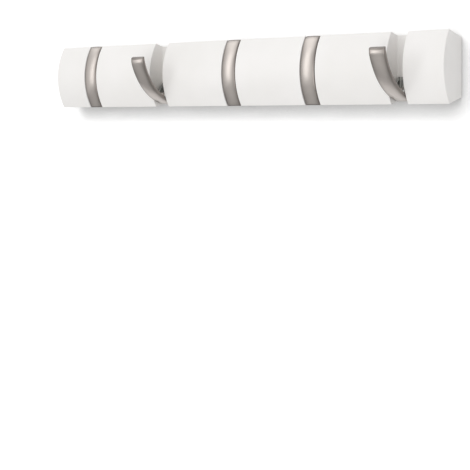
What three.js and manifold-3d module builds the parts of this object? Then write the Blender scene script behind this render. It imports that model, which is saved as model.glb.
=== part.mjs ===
// Wall coat rack: a painted wooden bar with an arched front and five slots, each with a nickel hook
// that lies flush in its slot or flips out to 46 degrees.
// Millimetres. X runs along the bar, Z is up, the wall is the plane Y = 0 and the front faces -Y.
// Side views are drawn as (out, up): out is the distance from the wall, so Y = -out and Z = up.

import * as THREE from 'three';
import { mergeVertices } from 'three/addons/utils/BufferGeometryUtils.js';
import Module from 'manifold-3d';

const wasm = await Module();
wasm.setup();

// Bar
const BAR_LENGTH = 514.35;
const FRONT_HEIGHT = 69.85; // between the two front edges
const BACK_HEIGHT = 57.15; // of the face on the wall
const EDGE_DEPTH = 23.6; // from the wall to the front edges
const ARCH_RISE = 10.4; // how far the front swells past its edges
const EDGE_EASE = 0.9; // rounding of the four long edges
const COVE_RADIUS = 2; // in the two inner corners of a slot

// Hooks
const HOOK_COUNT = 5;
const HOOK_PITCH = 101.6;
const OPEN_HOOKS = [2, 5]; // counted from the left
const OPEN_ANGLE = THREE.MathUtils.degToRad(46);
const HOOK_WIDTH = 17.8;
const HOOK_THICKNESS = 3.8;
const HOOK_CROWN = 1.1; // how far the middle of the show face stands proud of the bar's arch
const HOOK_FRONT_EASE = 1.2; // rounding of the long edges on the show face
const HOOK_TIP_EASE = 1.6; // the same at its two ends
const HOOK_REAR_EASE = 1.6; // rounding of the long edges behind, clear of the slot's coves
const SLOT_CLEARANCE = 0.4; // between a hook and each wall of its slot

// Hinge
const PIVOT_DEPTH = 6.2; // pin axis behind the hook's show face
const PIVOT_HEIGHT = 11.7; // pin axis above the bar's lower front edge
const PIN_RADIUS = 1.5;
const PIN_HEAD_RADIUS = 2.3;
const PIN_HEAD_HEIGHT = 0.8;
const PIN_CROWN = 0.4; // rounded-off part of a pin head
const KNUCKLE_WALL = 2.8; // metal round the pin in the hook
const KNUCKLE_WIDTH = 8;
const WASHER_THICKNESS = 0.8;
const RUN_CLEARANCE = 0.1; // between parts that turn on each other
const SWEEP_CLEARANCE = 0.3; // round what passes by in a swing
const STOP_CLEARANCE = 0.3; // left at both stops, so that they never bind
const SEAT_GAP = 0.1; // paint film under whatever is screwed on

// Hinge bracket, a pressed steel channel
const GAUGE = 1.6;
const BEND_RADIUS = 0.8; // inside the two bends
const EYE_WALL = 1.9; // metal round the pin in each ear
const EAR_RISE = 5.5; // ear's front corner above the pin axis
const BRACKET_RISE = 15; // base's top edge above the pin axis
const COLLAR_WALL = 1.2; // round each tapped hole
const COLLAR_HEIGHT = 1.5;

// Screws that hold a bracket, driven from behind
const SCREW_RADIUS = 1.9;
const SCREW_HEAD_RADIUS = 3.7;
const SCREW_HEAD_HEIGHT = 2.4;
const SCREW_CROWN = 0.8; // rounded-off part of the head
const COUNTERBORE_DEPTH = 4;
const SCREW_PROUD = 0.6; // screw tip past its collar
const LOWER_SCREW_RISE = 2.4; // above the pin axis
const SCREW_SPACING = 8.6;
const HOLE_CLEARANCE = 0.2;

// Keyhole hanger plates let into the back
const KEYHOLE_PITCH = 406.4;
const KEYHOLE_HEIGHT = 12; // plate centre above the bar's middle
const PLATE_LENGTH = 46;
const PLATE_WIDTH = 20;
const PLATE_THICKNESS = 1.6;
const PLATE_FIT = 0.3; // round the plate in its recess
const KEYHOLE_ENTRY_RADIUS = 4.8;
const KEYHOLE_NECK_RADIUS = 2.3;
const KEYHOLE_TRAVEL = 7.5; // from the entry's centre up to the seat's
const POCKET_MARGIN = 0.9; // round the keyhole, for the wall screw's head
const POCKET_DEPTH = 6;
const PLATE_SCREW_INSET = 6.2; // from each end of the plate
const PLATE_SCREW_RADIUS = 1.4;
const PLATE_SCREW_HEAD_RADIUS = 2.8;
const PLATE_SCREW_HEAD_HEIGHT = 1.4;
const PLATE_SCREW_LENGTH = 12;
const PLATE_SCREW_POINT = 2;

// Drawing
const OVERRUN = 2; // how far a cutter runs past what it cuts
const ARCH_STEPS = 24;
const RING_STEPS = 100; // of a full turn round the arch's axis
const CROWN_STEPS = 4;
const ROUND_STEPS = 16;
const SMALL_STEPS = 12;
const CORNER_STEPS = 2;

// Finishes
const PAINT = { color: 0xf1efec, roughness: 0.42, metalness: 0 };
const NICKEL = { color: 0xb9b3ac, roughness: 0.3, metalness: 1 };
const STEEL = { color: 0x9c9c9a, roughness: 0.38, metalness: 1 };
const ZINC_PLATE = { color: 0xa9aaa6, roughness: 0.45, metalness: 1 };
const NYLON = { color: 0xe6e3da, roughness: 0.55, metalness: 0 };

// Worked out from the sizes above
const HALF_FRONT = FRONT_HEIGHT / 2;
const HALF_BACK = BACK_HEIGHT / 2;
const FRONT_DEPTH = EDGE_DEPTH + ARCH_RISE;
const ARCH_RADIUS = (HALF_FRONT ** 2 + ARCH_RISE ** 2) / (2 * ARCH_RISE);
const ARCH_CENTRE = new THREE.Vector2(FRONT_DEPTH - ARCH_RADIUS, 0);
const ARCH_HALF_ANGLE = Math.asin(HALF_FRONT / ARCH_RADIUS);
const INNER_RADIUS = ARCH_RADIUS - HOOK_THICKNESS;
const SLOT_WIDTH = HOOK_WIDTH + 2 * SLOT_CLEARANCE;
const PIVOT = pivotPoint();
const OPEN_CENTRE = swing(ARCH_CENTRE);
const SLOT_FLOOR = swing(tailCorner(INNER_RADIUS)).x - STOP_CLEARANCE;
const KNUCKLE_RADIUS = PIN_RADIUS + KNUCKLE_WALL;
const EYE_RADIUS = PIN_RADIUS + EYE_WALL;
const BORE_RADIUS = PIN_RADIUS + RUN_CLEARANCE;
const WASHER_INNER = KNUCKLE_WIDTH / 2 + RUN_CLEARANCE;
const WASHER_OUTER = WASHER_INNER + WASHER_THICKNESS;
const EAR_INNER = WASHER_OUTER + RUN_CLEARANCE;
const EAR_OUTER = EAR_INNER + GAUGE;
const PIN_SHOULDER = EAR_OUTER + RUN_CLEARANCE;
const PIN_END = PIN_SHOULDER + PIN_HEAD_HEIGHT;
const BASE_BACK = SLOT_FLOOR + SEAT_GAP;
const BASE_FRONT = BASE_BACK + GAUGE;
const COLLAR_FRONT = BASE_FRONT + COLLAR_HEIGHT;
const SCREW_RISES = [LOWER_SCREW_RISE, LOWER_SCREW_RISE + SCREW_SPACING];
const PLATE_BACK = SEAT_GAP / 2;
const PLATE_FRONT = PLATE_BACK + PLATE_THICKNESS;
const PLATE_SCREW_X = PLATE_LENGTH / 2 - PLATE_SCREW_INSET;
const KEYHOLE_LOW = KEYHOLE_HEIGHT - KEYHOLE_TRAVEL / 2;

// The pin axis, at its depth behind the arch and its height over the lower edge.
function pivotPoint() {
  const up = PIVOT_HEIGHT - HALF_FRONT;
  const reach = ARCH_RADIUS - PIVOT_DEPTH;
  return new THREE.Vector2(ARCH_CENTRE.x + Math.sqrt(reach ** 2 - up ** 2), up);
}

// Where a point of a closed hook goes when the hook is flipped out.
function swing(point) {
  return point.clone().rotateAround(PIVOT, -OPEN_ANGLE);
}

// A lower corner of the hook: where its arc of this radius meets the bar's slanted underside.
function tailCorner(radius) {
  const slope = new THREE.Vector2(EDGE_DEPTH, HALF_BACK - HALF_FRONT).normalize();
  const foot = new THREE.Vector2(0, -HALF_BACK);
  const start = foot.clone().sub(ARCH_CENTRE);
  const along = start.dot(slope);
  const reach = Math.sqrt(along ** 2 - start.lengthSq() + radius ** 2) - along;
  return foot.addScaledVector(slope, reach);
}

// A solid for cutting and joining, from closed three.js geometry.
function solid(geometry) {
  const bare = geometry.clone();
  bare.deleteAttribute('normal');
  bare.deleteAttribute('uv');
  const merged = mergeVertices(bare);
  return new wasm.Manifold(new wasm.Mesh({
    numProp: 3,
    vertProperties: new Float32Array(merged.attributes.position.array),
    triVerts: new Uint32Array(merged.index.array),
  }));
}

// A named piece of the rack, from a finished solid.
function named(name, body, finish) {
  const mesh = body.getMesh();
  const geometry = new THREE.BufferGeometry();
  geometry.setAttribute('position', new THREE.BufferAttribute(mesh.vertProperties, 3));
  geometry.setIndex(new THREE.BufferAttribute(mesh.triVerts, 1));
  geometry.computeVertexNormals();
  const piece = new THREE.Mesh(geometry, new THREE.MeshStandardMaterial(finish));
  piece.name = name;
  return piece;
}

function joined(bodies) {
  return bodies.reduce((sum, body) => sum.add(body));
}

// Turns drawn geometry so that its own axes run along the three given directions.
function turned(geometry, x, y, z) {
  return geometry.applyMatrix4(new THREE.Matrix4().makeBasis(x, y, z));
}

const RIGHT = new THREE.Vector3(1, 0, 0);
const LEFT = new THREE.Vector3(-1, 0, 0);
const OUT = new THREE.Vector3(0, -1, 0);
const BACK = new THREE.Vector3(0, 1, 0);
const UP = new THREE.Vector3(0, 0, 1);
const DOWN = new THREE.Vector3(0, 0, -1);

function extruded(shape, depth) {
  return new THREE.ExtrudeGeometry(shape, { depth, bevelEnabled: false });
}

// A side view drawn as (out, up), carried along the bar from x0 to x1.
function sidePrism(shape, x0, x1) {
  const geometry = turned(extruded(shape, x1 - x0), OUT, UP, LEFT);
  return solid(geometry.translate(x1, 0, 0));
}

// A plan drawn as (x, out), carried upwards from z0 to z1.
function planPrism(shape, z0, z1) {
  const geometry = turned(extruded(shape, z1 - z0), RIGHT, OUT, DOWN);
  return solid(geometry.translate(0, 0, z1));
}

// A back view drawn as (x, up), carried outwards from out0 to out1.
function backPrism(shape, out0, out1) {
  const geometry = turned(extruded(shape, out1 - out0), RIGHT, UP, OUT);
  return solid(geometry.translate(0, -out0, 0));
}

// A turned piece whose axis runs along X through a point of the side view; profile (radius, x).
function turnedAlong(profile, centre, steps) {
  const geometry = turned(new THREE.LatheGeometry(profile, steps), UP, RIGHT, BACK);
  return solid(geometry.translate(0, -centre.x, centre.y));
}

// A turned piece whose axis runs outwards at (x, up); profile (radius, out).
function turnedOut(profile, x, up, steps) {
  const geometry = turned(new THREE.LatheGeometry(profile, steps), UP, OUT, RIGHT);
  return solid(geometry.translate(x, 0, up));
}

function points(pairs) {
  return pairs.map(([x, y]) => new THREE.Vector2(x, y));
}

function rodProfile(radius, from, to) {
  return points([[0, from], [radius, from], [radius, to], [0, to]]);
}

function rodAlong(radius, x0, x1, centre, steps = ROUND_STEPS) {
  return turnedAlong(rodProfile(radius, x0, x1), centre, steps);
}

function rodOut(radius, out0, out1, x, up, steps = ROUND_STEPS) {
  return turnedOut(rodProfile(radius, out0, out1), x, up, steps);
}

// The points of an outline whose corners, given as [x, y, radius], are rounded.
function roundedPoints(corners) {
  const places = points(corners);
  const count = corners.length;
  return corners.flatMap(([, , radius], i) => {
    const before = places[(i + count - 1) % count];
    const after = places[(i + 1) % count];
    return radius ? cornerArc(places[i], before, after, radius) : [places[i]];
  });
}

function cornerArc(corner, before, after, radius) {
  const back = before.clone().sub(corner).normalize();
  const ahead = after.clone().sub(corner).normalize();
  const half = Math.acos(back.dot(ahead)) / 2;
  const toCentre = back.clone().add(ahead).setLength(radius / Math.sin(half));
  const centre = corner.clone().add(toCentre);
  const start = corner.clone().addScaledVector(back, radius / Math.tan(half));
  const turn = (2 * half - Math.PI) * Math.sign(back.cross(ahead));
  const arc = [];
  for (let i = 0; i <= CORNER_STEPS; i++) {
    arc.push(start.clone().rotateAround(centre, turn * i / CORNER_STEPS));
  }
  return arc;
}

function roundedOutline(corners) {
  return new THREE.Shape(roundedPoints(corners));
}

function obround(length, width, x, up) {
  const radius = width / 2;
  const reach = length / 2 - radius;
  const outline = new THREE.Shape();
  outline.absarc(x + reach, up, radius, -Math.PI / 2, Math.PI / 2, false);
  outline.absarc(x - reach, up, radius, Math.PI / 2, Math.PI * 3 / 2, false);
  return outline;
}

// The upright slot of a keyhole, round at both ends.
function keyway(x, radius) {
  const outline = new THREE.Shape();
  outline.absarc(x, KEYHOLE_LOW, radius, Math.PI, 0, false);
  outline.absarc(x, KEYHOLE_LOW + KEYHOLE_TRAVEL, radius, 0, Math.PI, false);
  return outline;
}

// The bar's side view: straight back, slanted top and underside, arched front.
function barSection() {
  const corners = [[0, HALF_BACK, EDGE_EASE], [0, -HALF_BACK, EDGE_EASE]];
  for (let i = 0; i <= ARCH_STEPS; i++) {
    const angle = (2 * i / ARCH_STEPS - 1) * ARCH_HALF_ANGLE;
    const out = ARCH_CENTRE.x + ARCH_RADIUS * Math.cos(angle);
    const isEdge = i === 0 || i === ARCH_STEPS;
    corners.push([out, ARCH_RADIUS * Math.sin(angle), isEdge ? EDGE_EASE : 0]);
  }
  return roundedOutline(corners);
}

// One slot's plan: open to the front, flat floor with coved corners.
function slotPlan(x) {
  const front = FRONT_DEPTH + OVERRUN;
  const half = SLOT_WIDTH / 2;
  return roundedOutline([
    [x - half, front, 0],
    [x - half, SLOT_FLOOR, COVE_RADIUS],
    [x + half, SLOT_FLOOR, COVE_RADIUS],
    [x + half, front, 0],
  ]);
}

function hookX(index) {
  return (index - (HOOK_COUNT + 1) / 2) * HOOK_PITCH;
}

// The way through the bar for one bracket screw, with a counterbore behind.
function screwHole(x, rise) {
  const up = PIVOT.y + rise;
  const bore = SCREW_RADIUS + HOLE_CLEARANCE;
  const counterbore = SCREW_HEAD_RADIUS + HOLE_CLEARANCE;
  return rodOut(bore, -OVERRUN, SLOT_FLOOR + OVERRUN, x, up, SMALL_STEPS)
    .add(rodOut(counterbore, -OVERRUN, COUNTERBORE_DEPTH, x, up));
}

// The recess for one keyhole plate, with room behind its keyhole and two screw holes.
function keyholeRecess(x) {
  const length = PLATE_LENGTH + 2 * PLATE_FIT;
  const width = PLATE_WIDTH + 2 * PLATE_FIT;
  const seat = PLATE_FRONT + SEAT_GAP;
  const hole = PLATE_SCREW_RADIUS + HOLE_CLEARANCE;
  const depth = PLATE_SCREW_LENGTH + HOLE_CLEARANCE;
  const pocket = keyway(x, KEYHOLE_ENTRY_RADIUS + POCKET_MARGIN);
  return joined([
    backPrism(obround(length, width, x, KEYHOLE_HEIGHT), -OVERRUN, seat),
    backPrism(pocket, -OVERRUN, seat + POCKET_DEPTH),
    rodOut(hole, -OVERRUN, depth, x - PLATE_SCREW_X, KEYHOLE_HEIGHT, SMALL_STEPS),
    rodOut(hole, -OVERRUN, depth, x + PLATE_SCREW_X, KEYHOLE_HEIGHT, SMALL_STEPS),
  ]);
}

function barBody() {
  let body = sidePrism(barSection(), -BAR_LENGTH / 2, BAR_LENGTH / 2);
  for (let index = 1; index <= HOOK_COUNT; index++) {
    const x = hookX(index);
    body = body.subtract(planPrism(slotPlan(x), -FRONT_HEIGHT, FRONT_HEIGHT));
    for (const rise of SCREW_RISES) body = body.subtract(screwHole(x, rise));
  }
  for (const side of [-1, 1]) body = body.subtract(keyholeRecess(side * KEYHOLE_PITCH / 2));
  return body;
}

// The side view that trims a closed hook: its ends are flush with the bar's two slanted faces,
// and rounded where they meet the crown. The two front lines touch the crown at its ends.
function hookTrim() {
  const crown = ARCH_RADIUS + HOOK_CROWN;
  const tail = tailCorner(crown);
  const front = ARCH_CENTRE.x + crown ** 2 / (tail.x - ARCH_CENTRE.x);
  return roundedOutline([
    [0, -HALF_BACK, 0],
    [tail.x, tail.y, HOOK_TIP_EASE],
    [front, 0, 0],
    [tail.x, -tail.y, HOOK_TIP_EASE],
    [0, HALF_BACK, 0],
  ]);
}

// The points of the crowned show face between its two long edges, as (radius, x).
function crownPoints() {
  const crown = [];
  for (let i = 1; i < CROWN_STEPS; i++) {
    const across = 2 * i / CROWN_STEPS - 1;
    const radius = ARCH_RADIUS + HOOK_CROWN * (1 - across ** 2);
    crown.push([radius, across * HOOK_WIDTH / 2, 0]);
  }
  return crown;
}

// A closed hook: a crowned plate on the bar's own arch, with a knuckle behind for the pin.
// Two hollows beside the knuckle give the bracket's ears room to pass.
function hookBody() {
  const half = HOOK_WIDTH / 2;
  const section = roundedPoints([
    [INNER_RADIUS, -half, HOOK_REAR_EASE],
    [ARCH_RADIUS, -half, HOOK_FRONT_EASE],
    ...crownPoints(),
    [ARCH_RADIUS, half, HOOK_FRONT_EASE],
    [INNER_RADIUS, half, HOOK_REAR_EASE],
  ]);
  const ring = turnedAlong([...section, section[0]], ARCH_CENTRE, RING_STEPS);
  const pass = EYE_RADIUS + SWEEP_CLEARANCE;
  const passEnd = PIN_END + SWEEP_CLEARANCE;
  const knuckleEnd = KNUCKLE_WIDTH / 2;
  return ring
    .intersect(sidePrism(hookTrim(), -half, half))
    .subtract(rodAlong(pass, knuckleEnd, passEnd, PIVOT))
    .subtract(rodAlong(pass, -passEnd, -knuckleEnd, PIVOT))
    .add(rodAlong(KNUCKLE_RADIUS, -knuckleEnd, knuckleEnd, PIVOT))
    .subtract(rodAlong(BORE_RADIUS, -half, half, PIVOT));
}

// A hook turns about its own origin, which is put on the pin axis.
function hook(index, body) {
  const piece = named(`hook_${index}`, body.translate([0, PIVOT.x, -PIVOT.y]), NICKEL);
  piece.position.set(hookX(index), -PIVOT.x, PIVOT.y);
  if (OPEN_HOOKS.includes(index)) piece.rotation.x = OPEN_ANGLE;
  return piece;
}

// The bracket's side view. Its front edge follows the closed hook and its lower edge the open
// hook, each a stop clearance away, so that the same ears stop the hook both ways.
function bracketSide() {
  const top = PIVOT.y + BRACKET_RISE;
  const shoulder = PIVOT.y + EAR_RISE;
  const outline = new THREE.Shape(points([
    [BASE_BACK, -HALF_FRONT],
    [FRONT_DEPTH, -HALF_FRONT],
    [FRONT_DEPTH, shoulder],
    [PIVOT.x, shoulder],
    [COLLAR_FRONT, top],
    [BASE_BACK, top],
  ]));
  const reach = INNER_RADIUS - STOP_CLEARANCE;
  return sidePrism(outline, -EAR_OUTER, EAR_OUTER)
    .intersect(rodAlong(reach, -EAR_OUTER, EAR_OUTER, ARCH_CENTRE, RING_STEPS))
    .intersect(rodAlong(reach, -EAR_OUTER, EAR_OUTER, OPEN_CENTRE, RING_STEPS))
    .add(rodAlong(EYE_RADIUS, -EAR_OUTER, EAR_OUTER, PIVOT));
}

// The channel that the bracket is cut from: a base with two ears bent forward.
function bracketChannel() {
  const front = PIVOT.x + EYE_RADIUS + OVERRUN;
  const outer = roundedOutline([
    [-EAR_OUTER, front, 0],
    [-EAR_OUTER, BASE_BACK, BEND_RADIUS + GAUGE],
    [EAR_OUTER, BASE_BACK, BEND_RADIUS + GAUGE],
    [EAR_OUTER, front, 0],
  ]);
  const inner = roundedOutline([
    [-EAR_INNER, front + OVERRUN, 0],
    [-EAR_INNER, BASE_FRONT, BEND_RADIUS],
    [EAR_INNER, BASE_FRONT, BEND_RADIUS],
    [EAR_INNER, front + OVERRUN, 0],
  ]);
  return planPrism(outer, -HALF_FRONT, HALF_FRONT)
    .subtract(planPrism(inner, -HALF_FRONT - OVERRUN, HALF_FRONT + OVERRUN));
}

function bracketBody() {
  const tap = SCREW_RADIUS + RUN_CLEARANCE;
  let body = bracketSide().intersect(bracketChannel());
  for (const rise of SCREW_RISES) {
    const up = PIVOT.y + rise;
    body = body
      .add(rodOut(tap + COLLAR_WALL, BASE_FRONT - GAUGE / 2, COLLAR_FRONT, 0, up))
      .subtract(rodOut(tap, BASE_BACK - OVERRUN, COLLAR_FRONT + OVERRUN, 0, up, SMALL_STEPS));
  }
  return body.subtract(rodAlong(BORE_RADIUS, -HOOK_WIDTH, HOOK_WIDTH, PIVOT));
}

// A headed pin, its far end spread over the second ear.
function pinBody() {
  return turnedAlong(points([
    [0, -PIN_END],
    [PIN_RADIUS, -PIN_END],
    [PIN_HEAD_RADIUS, PIN_CROWN - PIN_END],
    [PIN_HEAD_RADIUS, -PIN_SHOULDER],
    [PIN_RADIUS, -PIN_SHOULDER],
    [PIN_RADIUS, PIN_SHOULDER],
    [PIN_HEAD_RADIUS, PIN_SHOULDER],
    [PIN_HEAD_RADIUS, PIN_END - PIN_CROWN],
    [PIN_RADIUS, PIN_END],
    [0, PIN_END],
  ]), PIVOT, ROUND_STEPS);
}

// A nylon ring that fills the play between the knuckle and an ear and holds the hook by friction.
function washerBody(from, to) {
  return rodAlong(EYE_RADIUS, from, to, PIVOT)
    .subtract(rodAlong(BORE_RADIUS, from - OVERRUN, to + OVERRUN, PIVOT));
}

// Pan-head machine screw from the counterbore into the bracket's collar.
function bracketScrew(x, rise) {
  const seat = COUNTERBORE_DEPTH - SEAT_GAP;
  const back = seat - SCREW_HEAD_HEIGHT;
  const tip = COLLAR_FRONT + SCREW_PROUD;
  return turnedOut(points([
    [0, back],
    [SCREW_HEAD_RADIUS - SCREW_CROWN, back],
    [SCREW_HEAD_RADIUS, back + SCREW_CROWN],
    [SCREW_HEAD_RADIUS, seat],
    [SCREW_RADIUS, seat],
    [SCREW_RADIUS, tip],
    [0, tip],
  ]), x, PIVOT.y + rise, SMALL_STEPS);
}

// Keyhole plate: the wall screw's head goes in below, and the neck drops over its shank.
function keyholePlate(x) {
  const blank = obround(PLATE_LENGTH, PLATE_WIDTH, x, KEYHOLE_HEIGHT);
  const from = PLATE_BACK - OVERRUN;
  const to = PLATE_FRONT + OVERRUN;
  let body = backPrism(blank, PLATE_BACK, PLATE_FRONT)
    .subtract(backPrism(keyway(x, KEYHOLE_NECK_RADIUS), from, to))
    .subtract(rodOut(KEYHOLE_ENTRY_RADIUS, from, to, x, KEYHOLE_LOW));
  for (const side of [-1, 1]) body = body.subtract(countersink(x + side * PLATE_SCREW_X));
  return body;
}

// The cone that a flat screw head leaves in the plate, with the hole below it.
function countersink(x) {
  const hole = PLATE_SCREW_RADIUS + RUN_CLEARANCE;
  const mouth = PLATE_SCREW_HEAD_RADIUS + RUN_CLEARANCE;
  return turnedOut(points([
    [0, PLATE_BACK - OVERRUN],
    [mouth, PLATE_BACK - OVERRUN],
    [mouth, PLATE_BACK],
    [hole, PLATE_BACK + PLATE_SCREW_HEAD_HEIGHT],
    [hole, PLATE_FRONT + OVERRUN],
    [0, PLATE_FRONT + OVERRUN],
  ]), x, KEYHOLE_HEIGHT, SMALL_STEPS);
}

// Flat-head wood screw, flush with the plate.
function plateScrew(x) {
  return turnedOut(points([
    [0, PLATE_BACK],
    [PLATE_SCREW_HEAD_RADIUS, PLATE_BACK],
    [PLATE_SCREW_RADIUS, PLATE_BACK + PLATE_SCREW_HEAD_HEIGHT],
    [PLATE_SCREW_RADIUS, PLATE_SCREW_LENGTH - PLATE_SCREW_POINT],
    [0, PLATE_SCREW_LENGTH],
  ]), x, KEYHOLE_HEIGHT, SMALL_STEPS);
}

const rack = new THREE.Group();
rack.name = 'wall_coat_rack';
rack.add(named('rack_bar', barBody(), PAINT));

const hookShape = hookBody();
const bracketShape = bracketBody();
const pinShape = pinBody();
const leftWasherShape = washerBody(-WASHER_OUTER, -WASHER_INNER);
const rightWasherShape = washerBody(WASHER_INNER, WASHER_OUTER);
for (let index = 1; index <= HOOK_COUNT; index++) {
  const x = hookX(index);
  rack.add(
    hook(index, hookShape),
    named(`hinge_bracket_${index}`, bracketShape.translate([x, 0, 0]), STEEL),
    named(`hinge_pin_${index}`, pinShape.translate([x, 0, 0]), STEEL),
    named(`friction_washer_left_${index}`, leftWasherShape.translate([x, 0, 0]), NYLON),
    named(`friction_washer_right_${index}`, rightWasherShape.translate([x, 0, 0]), NYLON),
    named(`bracket_screw_lower_${index}`, bracketScrew(x, SCREW_RISES[0]), ZINC_PLATE),
    named(`bracket_screw_upper_${index}`, bracketScrew(x, SCREW_RISES[1]), ZINC_PLATE),
  );
}

for (const [end, side] of [['left', -1], ['right', 1]]) {
  const x = side * KEYHOLE_PITCH / 2;
  rack.add(
    named(`keyhole_plate_${end}`, keyholePlate(x), ZINC_PLATE),
    named(`keyhole_screw_${end}_outer`, plateScrew(x + side * PLATE_SCREW_X), ZINC_PLATE),
    named(`keyhole_screw_${end}_inner`, plateScrew(x - side * PLATE_SCREW_X), ZINC_PLATE),
  );
}

export default rack;
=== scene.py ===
"""A wall coat rack: a white lacquered bar with an arched front, and five satin nickel hooks that lie
flush in its slots or flip out on hinges. Hooks 2 and 5 stand open. Metres; the wall is the plane y = 0."""

import math

import bmesh
import bpy
from mathutils import Matrix, Vector


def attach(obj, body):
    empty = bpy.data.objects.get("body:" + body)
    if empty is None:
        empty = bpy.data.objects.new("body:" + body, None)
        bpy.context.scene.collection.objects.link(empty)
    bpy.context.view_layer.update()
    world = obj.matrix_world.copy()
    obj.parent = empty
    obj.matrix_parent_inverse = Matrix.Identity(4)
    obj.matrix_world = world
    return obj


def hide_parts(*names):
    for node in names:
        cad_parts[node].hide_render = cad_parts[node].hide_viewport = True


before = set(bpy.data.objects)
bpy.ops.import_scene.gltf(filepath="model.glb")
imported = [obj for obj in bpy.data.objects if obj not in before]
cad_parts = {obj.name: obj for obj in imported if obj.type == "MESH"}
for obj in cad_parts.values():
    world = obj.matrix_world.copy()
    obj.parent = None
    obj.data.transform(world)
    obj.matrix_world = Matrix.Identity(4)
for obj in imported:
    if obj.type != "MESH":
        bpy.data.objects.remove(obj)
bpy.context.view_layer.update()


# The bar is one length of wood, milled with an arched front, a slanted top and underside and five
# upright slots. It is sanded and sprayed white all round before anything is screwed into it.
# A side view is drawn as (out, up), where out is the distance from the wall.
MM = 0.001
BAR_LENGTH = 514.35 * MM
HALF_BACK = 28.575 * MM  # half the height on the wall
HALF_FRONT = 34.925 * MM  # half the height between the front edges
EDGE_DEPTH = 23.6 * MM  # from the wall to the front edges
ARCH_RADIUS = 63.842 * MM
ARCH_CENTRE = -29.842 * MM  # out, behind the wall
ARCH_STEPS = 36  # of half the arch
HOOKS = 5
HOOK_PITCH = 101.6 * MM
SLOT_WIDTH = 18.6 * MM
SLOT_FLOOR = 12.733 * MM  # from the wall
COVE_RADIUS = 2 * MM  # in a slot's inner corners
PIVOT = Vector((22.914 * MM, -23.225 * MM))  # pin axis, (out, up)
SANDING = 0.8 * MM  # how far sanding rounds the outer edges
SANDING_STEPS = 4
MOUTH_EASE = 0.5 * MM  # rounding of the slots' mouths
WELD = 0.001 * MM  # corners of a blank closer than this are one
CREASE = math.radians(35)  # an edge that turns more than this is sharp
FLAT = math.radians(0.3)  # and faces that turn less than this are one


def linear(code):
    """The linear colour of an sRGB hex code."""
    parts = [int(code[i:i + 2], 16) / 255 for i in (1, 3, 5)]
    return [c / 12.92 if c <= 0.04045 else ((c + 0.055) / 1.055) ** 2.4 for c in parts] + [1.0]


def add_node(tree, kind, sockets=None, **settings):
    """A node with its settings, each socket given a value or linked from another node's output."""
    node = tree.nodes.new(kind)
    for name, value in settings.items():
        setattr(node, name, value)
    for name, value in (sockets or {}).items():
        if isinstance(value, bpy.types.NodeSocket):
            tree.links.new(value, node.inputs[name])
        else:
            node.inputs[name].default_value = value
    return node


def shape_tree(name, sizes):
    """A Geometry Nodes tree with a blank going in, named sizes, and its two end nodes."""
    tree = bpy.data.node_groups.new(name, "GeometryNodeTree")
    tree.interface.new_socket("Blank", in_out="INPUT", socket_type="NodeSocketGeometry")
    for label, kind in sizes.items():
        tree.interface.new_socket(label, in_out="INPUT", socket_type=kind)
    tree.interface.new_socket("Piece", in_out="OUTPUT", socket_type="NodeSocketGeometry")
    return tree, tree.nodes.new("NodeGroupInput").outputs, tree.nodes.new("NodeGroupOutput")


def set_in_a_row(tree, piece, count, pitch):
    """Copies of a piece along the bar, as many to the left of its middle as to the right."""
    last = add_node(tree, "ShaderNodeMath", {0: count, 1: -1.0}, operation="ADD")
    reach = add_node(tree, "ShaderNodeMath", {0: last.outputs[0], 1: pitch}, operation="MULTIPLY")
    first = add_node(tree, "ShaderNodeMath", {0: reach.outputs[0], 1: -0.5}, operation="MULTIPLY")
    start = add_node(tree, "ShaderNodeCombineXYZ", {"X": first.outputs[0]})
    step = add_node(tree, "ShaderNodeCombineXYZ", {"X": pitch})
    row = add_node(tree, "GeometryNodeMeshLine", {
        "Count": count, "Start Location": start.outputs["Vector"], "Offset": step.outputs["Vector"]})
    copies = add_node(tree, "GeometryNodeInstanceOnPoints", {
        "Points": row.outputs["Mesh"], "Instance": piece})
    real = add_node(tree, "GeometryNodeRealizeInstances", {"Geometry": copies.outputs["Instances"]})
    return real.outputs["Geometry"]


def made_by(tree, name, blank, sizes):
    """The plain mesh that a tree makes of a blank, as a piece, smooth but for its sharp edges."""
    mesh = bpy.data.meshes.new(name)
    blank.to_mesh(mesh)
    piece = bpy.data.objects.new(name, mesh)
    bpy.context.scene.collection.objects.link(piece)
    modifier = piece.modifiers.new(name, "NODES")
    modifier.node_group = tree
    for item in tree.interface.items_tree:
        if item.in_out == "INPUT" and item.name in sizes:
            modifier[item.identifier] = sizes[item.name]
    depsgraph = bpy.context.evaluated_depsgraph_get()
    finished = bpy.data.meshes.new_from_object(piece.evaluated_get(depsgraph))
    piece.modifiers.clear()
    piece.data = finished
    finished.name = name
    # Cutting leaves each flat in slivers: they are made one face again.
    flats = bmesh.new()
    flats.from_mesh(finished)
    bmesh.ops.remove_doubles(flats, verts=flats.verts, dist=WELD)
    bmesh.ops.dissolve_limit(flats, angle_limit=FLAT, verts=flats.verts, edges=flats.edges)
    flats.to_mesh(finished)
    flats.free()
    finished.shade_smooth()
    finished.set_sharp_from_angle(angle=CREASE)
    return piece


def bare_material(name):
    """A new material, its tree, its shader, and the place on the piece that is being shaded."""
    material = bpy.data.materials.new(name)
    material.use_nodes = True
    tree = material.node_tree
    place = add_node(tree, "ShaderNodeTexCoord").outputs["Object"]
    return material, tree, tree.nodes["Principled BSDF"], place


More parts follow.
